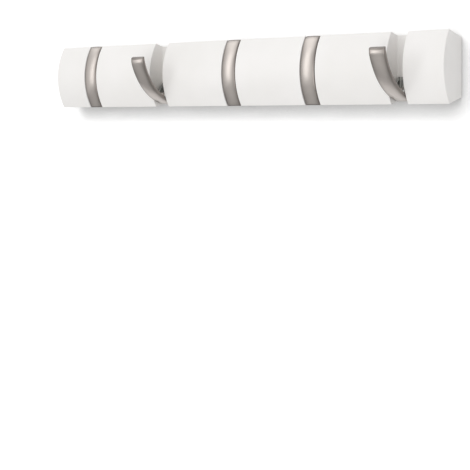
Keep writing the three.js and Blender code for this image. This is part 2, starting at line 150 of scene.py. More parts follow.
def sprayed_lacquer():
    """Satin white lacquer over sanded wood: an even, faintly warm white, with the soft orange peel
    of a spray gun and a trace of grain under it that only shows where light grazes."""
    material, tree, shader, place = bare_material("white_satin_lacquer_on_wood")
    # Grain runs along the bar: fibres some 40 mm long and 1.4 mm apart.
    fibres = add_node(tree, "ShaderNodeMapping", {
        "Vector": place, "Scale": (1 / (40 * MM), 1 / (1.4 * MM), 1 / (1.4 * MM))})
    grain = add_node(tree, "ShaderNodeTexNoise", {
        "Vector": fibres.outputs["Vector"], "Scale": 1.0, "Detail": 3.0, "Roughness": 0.55})
    peel = add_node(tree, "ShaderNodeTexNoise", {
        "Vector": place, "Scale": 1 / (2.4 * MM), "Detail": 2.0, "Roughness": 0.5})
    # The coat is a shade thicker in some places, over a hand's breadth.
    cloud = add_node(tree, "ShaderNodeTexNoise", {
        "Vector": place, "Scale": 1 / (70 * MM), "Detail": 2.0, "Roughness": 0.5})
    tint = add_node(tree, "ShaderNodeValToRGB", {"Fac": cloud.outputs["Fac"]})
    for element, position, code in zip(tint.color_ramp.elements, (0.3, 0.7), ("#efedea", "#f5f3f1")):
        element.position = position
        element.color = linear(code)
    gloss = add_node(tree, "ShaderNodeMapRange", {
        "Value": peel.outputs["Fac"], "To Min": 0.36, "To Max": 0.46})
    relief = add_node(tree, "ShaderNodeBump", {
        "Height": peel.outputs["Fac"], "Strength": 0.12, "Distance": 0.15 * MM})
    relief = add_node(tree, "ShaderNodeBump", {
        "Height": grain.outputs["Fac"], "Strength": 0.10, "Distance": 0.12 * MM,
        "Normal": relief.outputs["Normal"]})
    tree.links.new(tint.outputs["Color"], shader.inputs["Base Color"])
    tree.links.new(gloss.outputs["Result"], shader.inputs["Roughness"])
    tree.links.new(relief.outputs["Normal"], shader.inputs["Normal"])
    shader.inputs["IOR"].default_value = 1.48
    return material


def slant_angle(radius, inset=0.0):
    """Where, round the arch's centre, an arc of this radius meets the bar's slanted top, or a line
    that lies this far inside it."""
    slant = (HALF_FRONT - HALF_BACK) / EDGE_DEPTH
    length = math.hypot(1, slant)
    foot = HALF_BACK + slant * ARCH_CENTRE - inset * length
    return math.atan(slant) + math.asin(foot / (radius * length))


def bar_section(inset):
    """The bar's side view with its sanded corners, or a line this far inside it, as (out, up)."""
    slant = math.atan((HALF_FRONT - HALF_BACK) / EDGE_DEPTH)
    front = slant_angle(ARCH_RADIUS - SANDING, SANDING)
    front_out = ARCH_CENTRE + (ARCH_RADIUS - SANDING) * math.cos(front)
    front_up = (ARCH_RADIUS - SANDING) * math.sin(front)
    back_up = HALF_BACK + SANDING * (math.tan(slant) - 1 / math.cos(slant))
    # Each arc: its centre, its radius, the angles where it starts and ends, and its steps.
    arcs = (
        (ARCH_CENTRE, 0, ARCH_RADIUS, 0, front, ARCH_STEPS),
        (front_out, front_up, SANDING, front, math.pi / 2 + slant, SANDING_STEPS),
        (SANDING, back_up, SANDING, math.pi / 2 + slant, math.pi, SANDING_STEPS))
    half = []
    for out, up, radius, first, last, steps in arcs:
        for k in range(steps + 1):
            angle = first + (last - first) * k / steps
            reach = radius - inset
            half.append((out + reach * math.cos(angle), up + reach * math.sin(angle)))
    return [(out, -up) for out, up in reversed(half)] + half


def bands(blank, rings):
    """Joins each ring of a blank's corners to the next with a band of faces."""
    for lower, upper in zip(rings, rings[1:]):
        for i in range(len(lower)):
            j = (i + 1) % len(lower)
            blank.faces.new((lower[i], lower[j], upper[j], upper[i]))


def solid_between(blank, rings):
    """Makes a blank solid, from a face on its first ring to one on its last, all facing outwards."""
    bands(blank, rings)
    blank.faces.new(rings[0])
    blank.faces.new(rings[-1])
    bmesh.ops.remove_doubles(blank, verts=blank.verts, dist=WELD)
    bmesh.ops.dissolve_degenerate(blank, edges=blank.edges, dist=WELD)
    bmesh.ops.recalc_face_normals(blank, faces=blank.faces)
    return blank


def bar_blank():
    """The bar before it is slotted and drilled: its section, carried from one sanded end to the other."""
    blank = bmesh.new()
    rings = []
    for side in (-1, 1):
        for k in range(SANDING_STEPS + 1)[::-side]:
            way = math.pi / 2 * k / SANDING_STEPS
            x = side * (BAR_LENGTH / 2 - SANDING * (1 - math.cos(way)))
            section = bar_section(SANDING * (1 - math.sin(way)))
            rings.append([blank.verts.new((x, -out, up)) for out, up in section])
    return solid_between(blank, rings)


milling, bar_in, bar_out = shape_tree("bar_milling", {
    "Slots": "NodeSocketInt", "Slot pitch": "NodeSocketFloat", "Slot width": "NodeSocketFloat",
    "Slot floor": "NodeSocketFloat", "Keyhole pitch": "NodeSocketFloat",
    "Lacquer": "NodeSocketMaterial"})


def router_bit(width, height, corner, start, end):
    """What a router or a drill takes away: a rounded outline, carried from one height to another."""
    outline = add_node(milling, "GeometryNodeCurvePrimitiveQuadrilateral", {
        "Width": width, "Height": height})
    rounded = add_node(milling, "GeometryNodeFilletCurve", {
        "Curve": outline.outputs["Curve"], "Radius": corner, "Count": 12}, mode="POLY")
    spine = add_node(milling, "GeometryNodeCurvePrimitiveLine", {
        "Start": (0, 0, start), "End": (0, 0, end)})
    swept = add_node(milling, "GeometryNodeCurveToMesh", {
        "Curve": spine.outputs["Curve"], "Profile Curve": rounded.outputs["Curve"], "Fill Caps": True})
    return swept.outputs["Mesh"]


# A slot's outline is a plan with coved corners, carried upwards. Its near end is the slot's floor.
TALL = 100 * MM  # more than the bar's height and depth
plan_middle = add_node(milling, "ShaderNodeMath", {0: bar_in["Slot floor"], 1: TALL / 2}, operation="ADD")
plan_out = add_node(milling, "ShaderNodeMath", {0: plan_middle.outputs[0], 1: -1.0}, operation="MULTIPLY")
plan_place = add_node(milling, "ShaderNodeCombineXYZ", {"Y": plan_out.outputs[0]})
slot = add_node(milling, "GeometryNodeTransform", {
    "Geometry": router_bit(bar_in["Slot width"], TALL, COVE_RADIUS, -TALL / 2, TALL / 2),
    "Translation": plan_place.outputs["Vector"]})
cutters = [(slot.outputs["Geometry"], bar_in["Slots"], bar_in["Slot pitch"])]

# The holes in the back: two counterbored screw holes behind each slot, and at each keyhole plate a
# recess, a pocket for the wall screw's head and two pilot holes. All have round ends.
SCREW_UPS = (PIVOT.y + 2.4 * MM, PIVOT.y + 11 * MM)  # both above the pin axis
SCREW_HOLE = 4.2 * MM
SCREW_HOLE_DEPTH = 15 * MM  # through to the slot
HEAD_HOLE = 7.8 * MM
HEAD_HOLE_DEPTH = 4 * MM
KEYHOLES = 2
KEYHOLE_PITCH = 406.4 * MM
KEYHOLE_UP = 12 * MM
RECESS_LENGTH = 46.6 * MM
RECESS_HEIGHT = 20.6 * MM
RECESS_DEPTH = 1.75 * MM
POCKET_WIDTH = 11.4 * MM
POCKET_HEIGHT = 18.9 * MM
POCKET_DEPTH = 7.75 * MM
PILOT_HOLE = 3.2 * MM
PILOT_DEPTH = 12.2 * MM
PLATE_SCREW_ALONG = 16.8 * MM  # from a keyhole plate's middle
OVERRUN = 2 * MM  # how far a cutter starts or ends outside the wood
END_FLAT = 0.01 * MM  # how much a round end falls short of a half circle
holes = []  # rows of: count, pitch, width, height, depth, along, up
for up in SCREW_UPS:
    holes.append((bar_in["Slots"], bar_in["Slot pitch"], SCREW_HOLE, SCREW_HOLE, SCREW_HOLE_DEPTH, 0, up))
    holes.append((bar_in["Slots"], bar_in["Slot pitch"], HEAD_HOLE, HEAD_HOLE, HEAD_HOLE_DEPTH, 0, up))
for width, height, depth, along in (
        (RECESS_LENGTH, RECESS_HEIGHT, RECESS_DEPTH, 0),
        (POCKET_WIDTH, POCKET_HEIGHT, POCKET_DEPTH, 0),
        (PILOT_HOLE, PILOT_HOLE, PILOT_DEPTH, -PLATE_SCREW_ALONG),
        (PILOT_HOLE, PILOT_HOLE, PILOT_DEPTH, PLATE_SCREW_ALONG)):
    holes.append((KEYHOLES, bar_in["Keyhole pitch"], width, height, depth, along, KEYHOLE_UP))
for count, pitch, width, height, depth, along, up in holes:
    hole = add_node(milling, "GeometryNodeTransform", {
        "Geometry": router_bit(width, height, min(width, height) / 2 - END_FLAT, -OVERRUN, depth),
        "Rotation": (math.pi / 2, 0, 0), "Translation": (along, 0, up)})
    cutters.append((hole.outputs["Geometry"], count, pitch))

# A moulding cutter follows the arch and rounds each slot's mouth: a wide blade less two rods.
MOULDER_SWEEP = math.radians(80)  # more than the arch
MOULDER_STEPS = 90
BLADE_DEPTH = 2 * OVERRUN
ROD_LIFT = 0.03 * MM  # how far the rods' centres lie outside the rounding's own
half_slot = add_node(milling, "ShaderNodeMath", {0: bar_in["Slot width"], 1: 0.5}, operation="MULTIPLY")
mouth = add_node(milling, "ShaderNodeMath", {0: half_slot.outputs[0], 1: MOUTH_EASE}, operation="ADD")
breadth = add_node(milling, "ShaderNodeMath", {0: mouth.outputs[0], 1: 2.0}, operation="MULTIPLY")
sweep = add_node(milling, "GeometryNodeCurveArc", {
    "Resolution": MOULDER_STEPS, "Radius": ARCH_RADIUS,
    "Start Angle": -MOULDER_SWEEP / 2, "Sweep Angle": MOULDER_SWEEP})
blade = add_node(milling, "GeometryNodeCurvePrimitiveQuadrilateral", {
    "Width": BLADE_DEPTH, "Height": breadth.outputs[0]})
blade = add_node(milling, "GeometryNodeTransform", {
    "Geometry": blade.outputs["Curve"], "Translation": (BLADE_DEPTH / 2 - MOUTH_EASE, 0, 0)})
moulder = add_node(milling, "GeometryNodeCurveToMesh", {
    "Curve": sweep.outputs["Curve"], "Profile Curve": blade.outputs["Geometry"], "Fill Caps": True})
for side in (-1.0, 1.0):
    rod = add_node(milling, "GeometryNodeCurvePrimitiveCircle", {"Resolution": 24, "Radius": MOUTH_EASE})
    across = add_node(milling, "ShaderNodeMath", {0: mouth.outputs[0], 1: side}, operation="MULTIPLY")
    spot = add_node(milling, "ShaderNodeCombineXYZ", {"X": ROD_LIFT - MOUTH_EASE, "Y": across.outputs[0]})
    rod = add_node(milling, "GeometryNodeTransform", {
        "Geometry": rod.outputs["Curve"], "Translation": spot.outputs["Vector"]})
    rod = add_node(milling, "GeometryNodeCurveToMesh", {
        "Curve": sweep.outputs["Curve"], "Profile Curve": rod.outputs["Geometry"], "Fill Caps": True})
    moulder = add_node(milling, "GeometryNodeMeshBoolean", {
        "Mesh 1": moulder.outputs["Mesh"], "Mesh 2": rod.outputs["Mesh"]},
        operation="DIFFERENCE", solver="MANIFOLD")
moulder = add_node(milling, "GeometryNodeTransform", {
    "Geometry": moulder.outputs["Mesh"], "Rotation": (math.pi / 2, 0, -math.pi / 2),
    "Translation": (0, -ARCH_CENTRE, 0)})
cutters.append((moulder.outputs["Geometry"], bar_in["Slots"], bar_in["Slot pitch"]))

body = bar_in["Blank"]
for cutter, count, pitch in cutters:
    row = set_in_a_row(milling, cutter, count, pitch)
    cut = add_node(milling, "GeometryNodeMeshBoolean", {"Mesh 1": body, "Mesh 2": row},
                   operation="DIFFERENCE", solver="MANIFOLD")
    body = cut.outputs["Mesh"]
coated = add_node(milling, "GeometryNodeSetMaterial", {"Geometry": body, "Material": bar_in["Lacquer"]})
milling.links.new(coated.outputs["Geometry"], bar_out.inputs["Piece"])
bar = made_by(milling, "lacquered_bar", bar_blank(), {
    "Slots": HOOKS, "Slot pitch": HOOK_PITCH, "Slot width": SLOT_WIDTH, "Slot floor": SLOT_FLOOR,
    "Keyhole pitch": KEYHOLE_PITCH, "Lacquer": sprayed_lacquer()})

# The flats outweigh the rounded edges beside them, so that they shade flat.
weighting = bar.modifiers.new("flats", "WEIGHTED_NORMAL")
weighting.keep_sharp = True
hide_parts("rack_bar")
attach(bar, "bar")


# The hinge brackets are U channels pressed from 1.6 mm steel and plated. Each is screwed to its
# slot's floor from behind; its two ears carry the pin and stop the hook both ways.
PRESSED_EDGE = 0.2 * MM  # rounding that tumbling leaves
PRESSED_FLAT = math.radians(1)  # the solid's faces that turn less than this are one


def edge_rounding(piece, width, chosen=lambda corner: True):
    """Rounds a piece's sharp edges, or those between chosen corners, as dies or tumbling leave them."""
    edges = bmesh.new()
    edges.from_mesh(piece.data)
    weight = edges.edges.layers.float.new("bevel_weight_edge")
    for edge in edges.edges:
        if edge.is_manifold and edge.calc_face_angle() > CREASE:
            edge[weight] = float(all(chosen(corner.co) for corner in edge.verts))
    edges.to_mesh(piece.data)
    edges.free()
    bevel = piece.modifiers.new("edges", "BEVEL")
    bevel.width = width
    bevel.segments = 2
    bevel.limit_method = "WEIGHT"
    bevel.use_clamp_overlap = False
    bevel.loop_slide = False
    bevel.harden_normals = True
    bevel.miter_outer = "MITER_ARC"


def plated_steel(tree, shader, mottle, colours, texture, roughness, strength):
    """Dresses a shader as plated steel: its colour lies between two by how it is mottled, and its
    roughness and relief follow its texture."""
    tint = add_node(tree, "ShaderNodeMix", {
        "Factor": mottle, "A": linear(colours[0]), "B": linear(colours[1])}, data_type="RGBA")
    gloss = add_node(tree, "ShaderNodeMapRange", {
        "Value": texture, "To Min": roughness[0], "To Max": roughness[1]})
    relief = add_node(tree, "ShaderNodeBump", {
        "Height": texture, "Strength": strength, "Distance": 0.03 * MM})
    tree.links.new(tint.outputs["Result"], shader.inputs["Base Color"])
    tree.links.new(gloss.outputs["Result"], shader.inputs["Roughness"])
    tree.links.new(relief.outputs["Normal"], shader.inputs["Normal"])
    shader.inputs["Metallic"].default_value = 1.0


def rolled_steel():
    """Zinc-plated pressed steel: grey with a soft, slightly uneven shine and fine rolling lines."""
    material, tree, shader, place = bare_material("zinc_plated_pressed_steel")
    # The rolling lines stand upright, 18 mm long and 0.5 mm apart.
    lines = add_node(tree, "ShaderNodeMapping", {
        "Vector": place, "Scale": (1 / (0.5 * MM), 1 / (0.5 * MM), 1 / (18 * MM))})
    rolling = add_node(tree, "ShaderNodeTexNoise", {
        "Vector": lines.outputs["Vector"], "Scale": 1.0, "Detail": 2.0})
    crystals = add_node(tree, "ShaderNodeTexVoronoi", {"Vector": place, "Scale": 1 / (3.5 * MM)})
    plated_steel(tree, shader, crystals.outputs["Distance"], ("#a7a8a6", "#b6b7b4"),
                 rolling.outputs["Fac"], (0.30, 0.46), 0.15)
    return material


def pressed_copy(node):
    """A CAD node's own shape with its triangles welded and its flats made whole."""
    blank = bmesh.new()
    blank.from_mesh(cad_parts[node].data)
    bmesh.ops.remove_doubles(blank, verts=blank.verts, dist=WELD)
    bmesh.ops.dissolve_limit(blank, angle_limit=PRESSED_FLAT, verts=blank.verts, edges=blank.edges)
    return blank


# Every small part repeats from hook to hook: this tree sets one blank's copies along the bar.
repeats, repeat_in, repeat_out = shape_tree("along_the_bar", {
    "Count": "NodeSocketInt", "Pitch": "NodeSocketFloat", "Finish": "NodeSocketMaterial"})
finish = add_node(repeats, "GeometryNodeSetMaterial", {
    "Geometry": set_in_a_row(repeats, repeat_in["Blank"], repeat_in["Count"], repeat_in["Pitch"]),
    "Material": repeat_in["Finish"]})
repeats.links.new(finish.outputs["Geometry"], repeat_out.inputs["Piece"])

pressed_steel = rolled_steel()
brackets = made_by(repeats, "pressed_hinge_brackets", pressed_copy("hinge_bracket_3"), {
    "Count": HOOKS, "Pitch": HOOK_PITCH, "Finish": pressed_steel})
edge_rounding(brackets, PRESSED_EDGE)
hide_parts(*[f"hinge_bracket_{n}" for n in range(1, HOOKS + 1)])
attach(brackets, "bar")


# The bracket screws are M4 pan heads with a cross recess, bright zinc-plated. Two go through the
# bar from counterbores in its back into the tapped collars of each bracket.
# Their outline, and those of the other turned pieces, is a row of (radius, along) in millimetres.
PAN_HEAD = [(0, 0), (1.6, 0.05), (2.7, 0.32), (3.35, 0.8), (3.65, 1.5), (3.7, 2.1), (3.62, 2.4),
            (1.9, 2.4), (1.9, 14.8), (1.5, 15.03), (0, 15.03)]
SCREW_SEAT = 1.5 * MM  # from the wall to the top of the head
CROSS_LENGTH = 4.2 * MM
CROSS_WIDTH = 0.9 * MM
CROSS_DEPTH = 1.5 * MM
TURNED_STEPS = 40  # round a turned piece


def turned(outline, places):
    """One turned piece for each place, as a blank."""
    blank = bmesh.new()
    for place in places:
        rings = []
        for point in outline:
            radius, along = (size * MM for size in point)
            ring = []
            for k in range(TURNED_STEPS):
                way = math.tau * k / TURNED_STEPS
                corner = Vector((radius * math.cos(way), radius * math.sin(way), along))
                ring.append(blank.verts.new(place @ corner))
            rings.append(ring)
        bands(blank, rings)
    bmesh.ops.remove_doubles(blank, verts=blank.verts, dist=WELD)
    bmesh.ops.recalc_face_normals(blank, faces=blank.faces)
    return blank


def zinc_bright():
    """Bright zinc plate on screw steel: paler and bluer than the brackets, finely mottled."""
    material, tree, shader, place = bare_material("bright_zinc_plated_screw_steel")
    mottle = add_node(tree, "ShaderNodeTexNoise", {
        "Vector": place, "Scale": 1 / (1.2 * MM), "Detail": 3.0}).outputs["Fac"]
    plated_steel(tree, shader, mottle, ("#a3a5a6", "#bfc1c2"), mottle, (0.26, 0.42), 0.1)
    return material


# This tree strikes a cross recess into a screw's head: two crossed blades, sunk from outside it.
recessed, recess_in, recess_out = shape_tree("cross_recess", {
    "Blade length": "NodeSocketFloat", "Blade width": "NodeSocketFloat",
    "Recess bottom": "NodeSocketFloat"})
bottom = add_node(recessed, "ShaderNodeCombineXYZ", {"Z": recess_in["Recess bottom"]})
stroke = add_node(recessed, "GeometryNodeCurvePrimitiveLine", {
    "Start": bottom.outputs["Vector"], "End": (0, 0, -2 * OVERRUN)})
cross = recess_in["Blank"]
for width, height in (("Blade length", "Blade width"), ("Blade width", "Blade length")):
    blade = add_node(recessed, "GeometryNodeCurvePrimitiveQuadrilateral", {
        "Width": recess_in[width], "Height": recess_in[height]})
    punch = add_node(recessed, "GeometryNodeCurveToMesh", {
        "Curve": stroke.outputs["Curve"], "Profile Curve": blade.outputs["Curve"], "Fill Caps": True})
    struck = add_node(recessed, "GeometryNodeMeshBoolean", {
        "Mesh 1": cross, "Mesh 2": punch.outputs["Mesh"]}, operation="DIFFERENCE", solver="MANIFOLD")
    cross = struck.outputs["Mesh"]
recessed.links.new(cross, recess_out.inputs["Piece"])


def struck_screws(name, outline, places, length, width, depth):
    """A blank of screws, one for each place, with cross recesses of this length, width and depth."""
    single = made_by(recessed, name, turned(outline, [Matrix.Identity(4)]), {
        "Blade length": length, "Blade width": width, "Recess bottom": depth})
    blank = bmesh.new()
    for place in places:
        mesh = single.data.copy()
        mesh.transform(place)
        blank.from_mesh(mesh)
    bpy.data.objects.remove(single)
    return blank


def outwards(along, out, up):
    """The place of a piece turned about an axis that runs out from the wall, from a depth."""
    return Matrix.Translation((along, -out, up)) @ Matrix.Rotation(math.pi / 2, 4, "X")


bright_zinc = zinc_bright()
screw_blank = struck_screws("screw_blank", PAN_HEAD, [outwards(0, SCREW_SEAT, up) for up in SCREW_UPS],
                            CROSS_LENGTH, CROSS_WIDTH, CROSS_DEPTH)
screws = made_by(repeats, "pan_head_bracket_screws", screw_blank, {
    "Count": HOOKS, "Pitch": HOOK_PITCH, "Finish": bright_zinc})
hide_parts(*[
    f"bracket_screw_{end}_{n}" for n in range(1, HOOKS + 1) for end in ("lower", "upper")])
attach(screws, "bar")


# The friction washers are moulded nylon rings. One on each side of a hook's knuckle takes up the
# play between it and the bracket's ears, and holds the hook wherever it is put.
WASHER = [(1.6, -0.3), (1.7, -0.4), (3.25, -0.4), (3.4, -0.25), (3.4, 0.25), (3.25, 0.4), (1.7, 0.4),
          (1.6, 0.3), (1.6, -0.3)]
WASHER_ALONG = 4.5 * MM  # from the hook's middle


def moulded_nylon():
    """Natural nylon: milky off-white, slightly see-through at its edges, with a dull moulded skin."""
    material, tree, shader, place = bare_material("natural_moulded_nylon")
    skin = add_node(tree, "ShaderNodeTexNoise", {"Vector": place, "Scale": 1 / (0.8 * MM), "Detail": 2.0})
    tint = add_node(tree, "ShaderNodeMix", {
        "Factor": skin.outputs["Fac"], "A": linear("#dedad0"), "B": linear("#ebe8e0")}, data_type="RGBA")
    gloss = add_node(tree, "ShaderNodeMapRange", {
        "Value": skin.outputs["Fac"], "To Min": 0.48, "To Max": 0.62})
    tree.links.new(tint.outputs["Result"], shader.inputs["Base Color"])
    tree.links.new(gloss.outputs["Result"], shader.inputs["Roughness"])
    shader.inputs["IOR"].default_value = 1.53
    shader.inputs["Subsurface Weight"].default_value = 0.15
    shader.inputs["Subsurface Scale"].default_value = 0.5 * MM
    return material


def along_pin(along=0.0):
    """The place of a piece turned about the pin axis."""
    return Matrix.Translation((along, -PIVOT.x, PIVOT.y)) @ Matrix.Rotation(math.pi / 2, 4, "Y")


washer_blank = turned(WASHER, [along_pin(-WASHER_ALONG), along_pin(WASHER_ALONG)])
washers = made_by(repeats, "friction_washers", washer_blank, {
    "Count": HOOKS, "Pitch": HOOK_PITCH, "Finish": moulded_nylon()})
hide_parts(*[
    f"friction_washer_{side}_{n}" for n in range(1, HOOKS + 1) for side in ("left", "right")])
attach(washers, "bar")


# The hinge pins are 3 mm ground steel with a formed head, and a peened end over the second ear.
# They share the screws' bright plate.
PIN = [(0, -7.5), (1.2, -7.46), (1.9, -7.28), (2.24, -7.0), (2.3, -6.7), (1.5, -6.7), (1.5, 6.7),
       (2.3, 6.7), (2.2, 7.05), (1.85, 7.3), (1.1, 7.47), (0, 7.5)]
pins = made_by(repeats, "hinge_pins", turned(PIN, [along_pin()]), {
    "Count": HOOKS, "Pitch": HOOK_PITCH, "Finish": bright_zinc})
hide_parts(*[f"hinge_pin_{n}" for n in range(1, HOOKS + 1)])
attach(pins, "bar")


# The hooks are zinc die castings: an arched plate that carries on the bar's own curve when closed,
# with a knuckle behind its lower end for the pin and a hollow on each side of it for the bracket's
# ears. They are ground, plated and brushed to a satin nickel.
HOOK_WIDTH = 17.8 * MM
HOOK_THICKNESS = 3.8 * MM
FRONT_EASE = 1.2 * MM  # rounding of the show face's long edges
REAR_EASE = 1.6 * MM  # and of the long edges behind
EASE_STEPS = 6
CROWN = 1.1 * MM  # how far the middle of the show face stands proud of its long edges
CROWN_STEPS = 16  # across the show face
CROWN_RISE = 20 * MM  # length over which the crown rises from each end
END_CROWN_SHARE = 0.6  # what it rises from
NOSE = 4.8 * MM  # length over which the show face noses down at the tip
NOSE_DROP = 1.4 * MM
NOSE_POWER = 1.5  # the higher, the sharper it turns down
NOSE_STEPS = 10
PLATE_STEPS = 64  # along the plate between its two ends
END_GAP = 0.04 * MM  # how far the cut ends stay inside the bar's slanted top and underside
# Painted shade and reflection: the plate's colour is darkened along the show face's long edges and at the
# cut ends. This stands in for the shadow in the narrow gaps beside the slot's walls and the darker
# reflections that the rounded edges and cut ends show.
PAINTED_SIDE_SHADE = 1.0  # how dark the plate gets at the show face's long edges, from 0 to 1
PAINTED_SIDE_SHADE_POWER = 3  # the higher, the narrower the dark strip
PAINTED_END_SHADE = 0.8  # and at the cut ends
PAINTED_END_SHADE_SHARES = (0.6, 0.8)  # of the nose, where the end's dark starts and is full
OPEN_ANGLE = math.radians(46)
OPEN_HOOKS = (2, 5)
KNUCKLE_RADIUS = 4.3 * MM
KNUCKLE_WIDTH = 8 * MM
HOLLOW_RADIUS = 3.7 * MM
HOLLOW_WIDTH = 3.8 * MM
HOLLOW_ALONG = 5.9 * MM  # from the hook's middle
BORE_RADIUS = 1.6 * MM
CAST_EDGE = 0.25 * MM  # rounding of the cut ends' edges
SHARP_REACH = 6.5 * MM  # round the pin axis, where edges stay sharp


def satin_nickel():
    """Satin nickel plate: a warm grey metal whose fine blasted and brushed finish spreads every
    reflection into one soft glow along the curve, with faint unevenness from handling, and painted
    shade and reflection that darken its rounded edges and cut ends."""
    material, tree, shader, place = bare_material("satin_nickel_plate_on_zinc")
    # Brushing follows the hook's length: scratches 12 mm long, drawn 0.4 mm apart so that they show.
    brushing = add_node(tree, "ShaderNodeMapping", {
        "Vector": place, "Scale": (1 / (0.4 * MM), 1 / (12 * MM), 1 / (12 * MM))})
    scratches = add_node(tree, "ShaderNodeTexNoise", {
        "Vector": brushing.outputs["Vector"], "Scale": 1.0, "Detail": 3.0, "Roughness": 0.6})
    blasting = add_node(tree, "ShaderNodeTexNoise", {
        "Vector": place, "Scale": 1 / (0.5 * MM), "Detail": 1.0})
    wiping = add_node(tree, "ShaderNodeTexNoise", {
        "Vector": place, "Scale": 1 / (14 * MM), "Detail": 2.0})
    # Painted shade and reflection: the plate is darker towards the rounded edges and the cut ends, which
    # "edge" marks, standing in for the shadow in the gaps beside the slot's walls and the darker
    # reflections there.
    edges = add_node(tree, "ShaderNodeAttribute", attribute_name="edge")
    plate = add_node(tree, "ShaderNodeMix", {
        "Factor": wiping.outputs["Fac"], "A": linear("#afa9a4"), "B": linear("#bbb4af")}, data_type="RGBA")
    tint = add_node(tree, "ShaderNodeMix", {
        "Factor": edges.outputs["Fac"], "A": plate.outputs["Result"], "B": linear("#67615d")},
        data_type="RGBA")
    gloss = add_node(tree, "ShaderNodeMapRange", {
        "Value": wiping.outputs["Fac"], "To Min": 0.30, "To Max": 0.35})
    relief = add_node(tree, "ShaderNodeBump", {
        "Height": scratches.outputs["Fac"], "Strength": 0.10, "Distance": 0.03 * MM})
    relief = add_node(tree, "ShaderNodeBump", {
        "Height": blasting.outputs["Fac"], "Strength": 0.10, "Distance": 0.03 * MM,
        "Normal": relief.outputs["Normal"]})
    tree.links.new(tint.outputs["Result"], shader.inputs["Base Color"])
    tree.links.new(gloss.outputs["Result"], shader.inputs["Roughness"])
    tree.links.new(relief.outputs["Normal"], shader.inputs["Normal"])
    shader.inputs["Metallic"].default_value = 1.0
    return material


def plate_section():
    """The plate cut across, before it is crowned: (x, depth behind the show face)."""
    half = HOOK_WIDTH / 2
    # Each corner: its rounding's centre, the angle where that starts, in degrees, and its radius.
    corners = (
        (half - FRONT_EASE, FRONT_EASE, 0, FRONT_EASE),
        (half - REAR_EASE, HOOK_THICKNESS - REAR_EASE, 90, REAR_EASE),
        (REAR_EASE - half, HOOK_THICKNESS - REAR_EASE, 180, REAR_EASE),
        (FRONT_EASE - half, FRONT_EASE, 270, FRONT_EASE))
    section = []
    for x, depth, first, ease in corners:
        for k in range(EASE_STEPS + 1):
            way = math.radians(first + 90 * k / EASE_STEPS)
            section.append((x + ease * math.sin(way), depth - ease * math.cos(way)))
    for k in range(1, CROWN_STEPS):
        section.append(((2 * k / CROWN_STEPS - 1) * (half - FRONT_EASE), 0.0))
    return section


def plate_blank():
    """The hook's arched plate, closed: its section, crowned and carried round the arch. The tip noses
    down, the crown runs out at the lower end, and both ends are cut on the slant of the bar's top and
    underside. Its vertices carry "edge", which marks how far painted shade and reflection darken the
    rounded edges and the cut ends."""
    # Each station: how far along the arch from its middle, and how far into the nose, as shares.
    noses = [k / NOSE_STEPS for k in range(1, NOSE_STEPS + 1)]
    stations = [(-1, nose) for nose in reversed(noses)]
    stations += [(2 * k / PLATE_STEPS - 1, 0.0) for k in range(1, PLATE_STEPS)]
    stations += [(1, nose) for nose in noses]
    half_arch = slant_angle(ARCH_RADIUS) * ARCH_RADIUS
    painted_shade_from, painted_shade_full = PAINTED_END_SHADE_SHARES
    section = plate_section()
    blank = bmesh.new()
    painted_shade_layer = blank.verts.layers.float.new("edge")
    rings = []
    for along, nose in stations:
        rise = min((1 - abs(along)) * half_arch / CROWN_RISE, 1)
        rise = rise * rise * (3 - 2 * rise)
        crown = CROWN * (END_CROWN_SHARE + (1 - END_CROWN_SHARE) * rise)
        if along > 0:
            # What the crown loses near the tip, the long edges gain.
            drop = NOSE_DROP * nose ** NOSE_POWER - (CROWN - crown)
        else:
            drop = 0.0
            crown *= 1 - nose ** 2
        # Painted shade and reflection: how much the plate's colour darkens towards the cut ends and the
        # show face's long edges.
        painted_end_shade = PAINTED_END_SHADE * min(max((nose - painted_shade_from) / (painted_shade_full - painted_shade_from), 0), 1)
        ring = []
        for x, depth in section:
            across = x / (HOOK_WIDTH / 2)
            front = 1 - depth / HOOK_THICKNESS
            painted_side_shade = PAINTED_SIDE_SHADE * abs(across) ** PAINTED_SIDE_SHADE_POWER * front
            radius = ARCH_RADIUS - depth - (drop - crown * (1 - across ** 2)) * front
            start = slant_angle(radius) - (NOSE + END_GAP) / radius
            angle = along * (start + nose * NOSE / radius)
            out = ARCH_CENTRE + radius * math.cos(angle)
            corner = blank.verts.new((x, -out, radius * math.sin(angle)))
            corner[painted_shade_layer] = max(painted_side_shade, painted_end_shade)
            ring.append(corner)
        rings.append(ring)
    return solid_between(blank, rings)


# This tree takes out the hollows, adds the knuckle and bores it, then sets the hook in its slot.
casting, hook_in, hook_out = shape_tree("flip_hook", {
    "Knuckle radius": "NodeSocketFloat", "Knuckle width": "NodeSocketFloat",
    "Hollow radius": "NodeSocketFloat", "Bore radius": "NodeSocketFloat",
    "Opening": "NodeSocketFloat", "Along": "NodeSocketFloat", "Plate": "NodeSocketMaterial"})
metal = hook_in["Blank"]
for radius, width, along, work in (
        (hook_in["Hollow radius"], HOLLOW_WIDTH, -HOLLOW_ALONG, "DIFFERENCE"),
        (hook_in["Hollow radius"], HOLLOW_WIDTH, HOLLOW_ALONG, "DIFFERENCE"),
        (hook_in["Knuckle radius"], hook_in["Knuckle width"], 0, "UNION"),
        (hook_in["Bore radius"], HOOK_WIDTH, 0, "DIFFERENCE")):
    rod = add_node(casting, "GeometryNodeMeshCylinder", {"Vertices": 48, "Radius": radius, "Depth": width})
    laid = add_node(casting, "GeometryNodeTransform", {
        "Geometry": rod.outputs["Mesh"], "Rotation": (0, math.pi / 2, 0),
        "Translation": (along, -PIVOT.x, PIVOT.y)})
    worked = add_node(casting, "GeometryNodeMeshBoolean", {1: laid.outputs["Geometry"]},
                      operation=work, solver="MANIFOLD")
    # A union takes both meshes on its second socket.
    casting.links.new(metal, worked.inputs[1 if work == "UNION" else 0])
    metal = worked.outputs["Mesh"]
